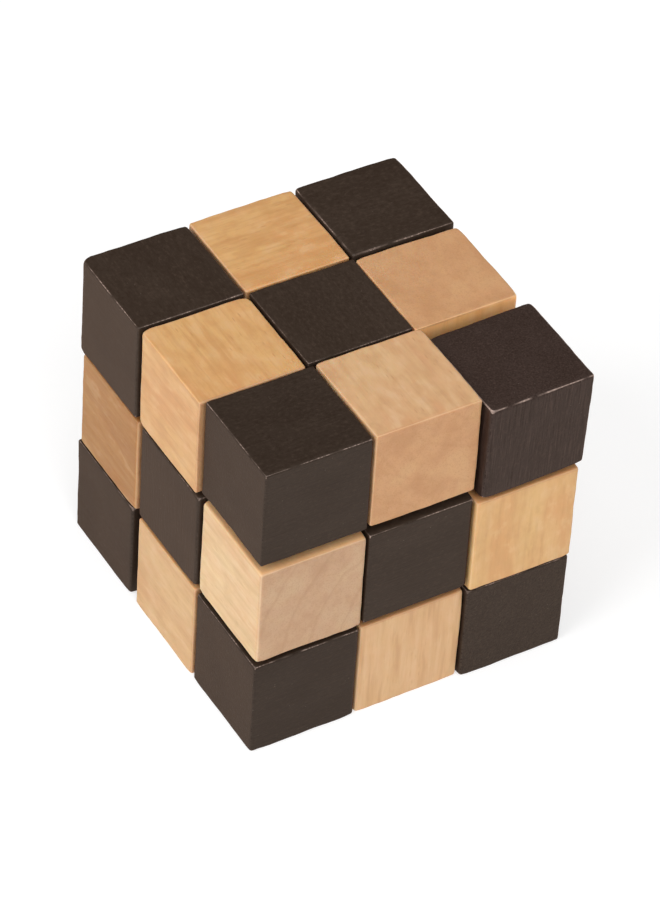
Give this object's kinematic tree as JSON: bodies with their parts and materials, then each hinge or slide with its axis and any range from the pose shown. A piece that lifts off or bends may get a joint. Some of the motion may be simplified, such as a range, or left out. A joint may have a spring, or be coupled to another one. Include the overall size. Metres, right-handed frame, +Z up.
{
  "type": "snake cube puzzle",
  "caption": "Snake cube puzzle: small dark and light wooden cubes threaded on one elastic cord and folded into a block.",
  "frame": {"origin": "middle of the block's footprint, on the surface that it rests on", "axes": "+Z up; +X along the rows of the middle and top layers, from the corner where two low faces meet; +Y across them"},
  "size_m": [0.062, 0.0645, 0.0628],
  "materials": {
    "dark_stained_wood": "dark brown stain, satin, rubbed at the edges",
    "light_wood": "bare pale hardwood, sanded smooth",
    "elastic": "black braided elastic",
    "plug_wood": "bare dowel end, glued in"
  },
  "bodies": {
    "link_01": {"cube_01": "dark_stained_wood", "elastic_01": "elastic", "plug_first": "plug_wood"},
    "link_02": {"cube_02": "light_wood", "elastic_02": "elastic"},
    "link_03": {"cube_03": "dark_stained_wood", "elastic_03": "elastic"},
    "link_04": {"cube_04": "light_wood", "elastic_04": "elastic"},
    "link_05": {"cube_05": "dark_stained_wood", "elastic_05": "elastic"},
    "link_06": {"cube_06": "light_wood", "elastic_06": "elastic"},
    "link_07": {"cube_07": "dark_stained_wood", "elastic_07": "elastic"},
    "link_08": {"cube_08": "light_wood", "elastic_08": "elastic"},
    "link_09": {"cube_09": "dark_stained_wood", "elastic_09": "elastic"},
    "span_lower": {"elastic_span_lower": "elastic"},
    "link_10": {"cube_10": "light_wood", "elastic_10": "elastic"},
    "link_11": {"cube_11": "dark_stained_wood", "elastic_11": "elastic"},
    "link_12": {"cube_12": "light_wood", "elastic_12": "elastic"},
    "link_13": {"cube_13": "dark_stained_wood", "elastic_13": "elastic"},
    "link_14": {"cube_14": "light_wood", "elastic_14": "elastic"},
    "link_15": {"cube_15": "dark_stained_wood", "elastic_15": "elastic"},
    "link_16": {"cube_16": "light_wood", "elastic_16": "elastic"},
    "link_17": {"cube_17": "dark_stained_wood", "elastic_17": "elastic"},
    "link_18": {"cube_18": "light_wood", "elastic_18": "elastic"},
    "span_upper": {"elastic_span_upper": "elastic"},
    "link_19": {"cube_19": "dark_stained_wood", "elastic_19": "elastic"},
    "link_20": {"cube_20": "light_wood", "elastic_20": "elastic"},
    "link_21": {"cube_21": "dark_stained_wood", "elastic_21": "elastic"},
    "link_22": {"cube_22": "light_wood", "elastic_22": "elastic"},
    "link_23": {"cube_23": "dark_stained_wood", "elastic_23": "elastic"},
    "link_24": {"cube_24": "light_wood", "elastic_24": "elastic"},
    "link_25": {"cube_25": "dark_stained_wood", "elastic_25": "elastic"},
    "link_26": {"cube_26": "light_wood", "elastic_26": "elastic"},
    "link_27": {"cube_27": "dark_stained_wood", "elastic_27": "elastic", "plug_last": "plug_wood"}
  },
  "joints": [
    {"name": "stretch_01_02", "type": "slide", "parent": "link_01", "child": "link_02", "axis": [0, -1, 0], "range_m": [0, 0.003], "stiffness_N_per_m": 150, "springref_m": -0.004},
    {"name": "stretch_02_03", "type": "slide", "parent": "link_02", "child": "link_03", "axis": [0, -1, 0], "range_m": [0, 0.003], "stiffness_N_per_m": 150, "springref_m": -0.004},
    {"name": "stretch_03_04", "type": "slide", "parent": "link_03", "child": "link_04", "axis": [1, 0, 0], "range_m": [0, 0.003], "stiffness_N_per_m": 150, "springref_m": -0.004},
    {"name": "stretch_04_05", "type": "slide", "parent": "link_04", "child": "link_05", "axis": [0, 1, 0], "range_m": [0, 0.003], "stiffness_N_per_m": 150, "springref_m": -0.004},
    {"name": "stretch_05_06", "type": "slide", "parent": "link_05", "child": "link_06", "axis": [0, 1, 0], "range_m": [0, 0.003], "stiffness_N_per_m": 150, "springref_m": -0.004},
    {"name": "stretch_06_07", "type": "slide", "parent": "link_06", "child": "link_07", "axis": [1, 0, 0], "range_m": [0, 0.003], "stiffness_N_per_m": 150, "springref_m": -0.004},
    {"name": "stretch_07_08", "type": "slide", "parent": "link_07", "child": "link_08", "axis": [0, -1, 0], "range_m": [0, 0.003], "stiffness_N_per_m": 150, "springref_m": -0.004},
    {"name": "stretch_08_09", "type": "slide", "parent": "link_08", "child": "link_09", "axis": [0, -1, 0], "range_m": [0, 0.003], "stiffness_N_per_m": 150, "springref_m": -0.004},
    {"name": "stretch_09_10", "type": "slide", "parent": "link_09", "child": "span_lower", "axis": [0, 0, 1], "range_m": [0, 0.003], "stiffness_N_per_m": 150, "springref_m": -0.004},
    {"name": "turn_09_10", "type": "hinge", "parent": "span_lower", "child": "link_10", "pos_m": [0.02032, -0.02111, 0.02015], "axis": [0, 0, 1], "continuous": true},
    {"name": "stretch_10_11", "type": "slide", "parent": "link_10", "child": "link_11", "axis": [-1, 0, 0], "range_m": [0, 0.003], "stiffness_N_per_m": 150, "springref_m": -0.004},
    {"name": "stretch_11_12", "type": "slide", "parent": "link_11", "child": "link_12", "axis": [-1, 0, 0], "range_m": [0, 0.003], "stiffness_N_per_m": 150, "springref_m": -0.004},
    {"name": "stretch_12_13", "type": "slide", "parent": "link_12", "child": "link_13", "axis": [0, 1, 0], "range_m": [0, 0.003], "stiffness_N_per_m": 150, "springref_m": -0.004},
    {"name": "stretch_13_14", "type": "slide", "parent": "link_13", "child": "link_14", "axis": [1, 0, 0], "range_m": [0, 0.003], "stiffness_N_per_m": 150, "springref_m": -0.004},
    {"name": "stretch_14_15", "type": "slide", "parent": "link_14", "child": "link_15", "axis": [1, 0, 0], "range_m": [0, 0.003], "stiffness_N_per_m": 150, "springref_m": -0.004},
    {"name": "stretch_15_16", "type": "slide", "parent": "link_15", "child": "link_16", "axis": [0, 1, 0], "range_m": [0, 0.003], "stiffness_N_per_m": 150, "springref_m": -0.004},
    {"name": "stretch_16_17", "type": "slide", "parent": "link_16", "child": "link_17", "axis": [-1, 0, 0], "range_m": [0, 0.003], "stiffness_N_per_m": 150, "springref_m": -0.004},
    {"name": "stretch_17_18", "type": "slide", "parent": "link_17", "child": "link_18", "axis": [-1, 0, 0], "range_m": [0, 0.003], "stiffness_N_per_m": 150, "springref_m": -0.004},
    {"name": "lift_18_19", "type": "slide", "parent": "link_18", "child": "span_upper", "axis": [0, 0, 1], "range_m": [0, 0.0094]},
    {"name": "turn_18_19", "type": "hinge", "parent": "span_upper", "child": "link_19", "pos_m": [-0.02073, 0.02126, 0.04125], "axis": [0, 0, 1], "continuous": true},
    {"name": "stretch_19_20", "type": "slide", "parent": "link_19", "child": "link_20", "axis": [1, 0, 0], "range_m": [0, 0.003], "stiffness_N_per_m": 150, "springref_m": -0.004},
    {"name": "stretch_20_21", "type": "slide", "parent": "link_20", "child": "link_21", "axis": [1, 0, 0], "range_m": [0, 0.003], "stiffness_N_per_m": 150, "springref_m": -0.004},
    {"name": "fold_21_22", "type": "hinge", "parent": "link_21", "child": "link_22", "pos_m": [0.02007, 0.01129, 0.05165], "axis": [0, 1, 0], "range_deg": [0, 90]},
    {"name": "stretch_22_23", "type": "slide", "parent": "link_22", "child": "link_23", "axis": [-1, 0, 0], "range_m": [0, 0.003], "stiffness_N_per_m": 150, "springref_m": -0.004},
    {"name": "stretch_23_24", "type": "slide", "parent": "link_23", "child": "link_24", "axis": [-1, 0, 0], "range_m": [0, 0.003], "stiffness_N_per_m": 150, "springref_m": -0.004},
    {"name": "fold_24_25", "type": "hinge", "parent": "link_24", "child": "link_25", "pos_m": [-0.02041, -0.00969, 0.0521], "axis": [0, 1, 0], "range_deg": [-180, 0]},
    {"name": "stretch_25_26", "type": "slide", "parent": "link_25", "child": "link_26", "axis": [1, 0, 0], "range_m": [0, 0.003], "stiffness_N_per_m": 150, "springref_m": -0.004},
    {"name": "stretch_26_27", "type": "slide", "parent": "link_26", "child": "link_27", "axis": [1, 0, 0], "range_m": [0, 0.003], "stiffness_N_per_m": 150, "springref_m": -0.004}
  ],
  "couplings": [
    {"joint": "fold_21_22", "follows": "lift_18_19", "rad_per_m": 167},
    {"joint": "fold_24_25", "follows": "lift_18_19", "rad_per_m": -334}
  ]
}
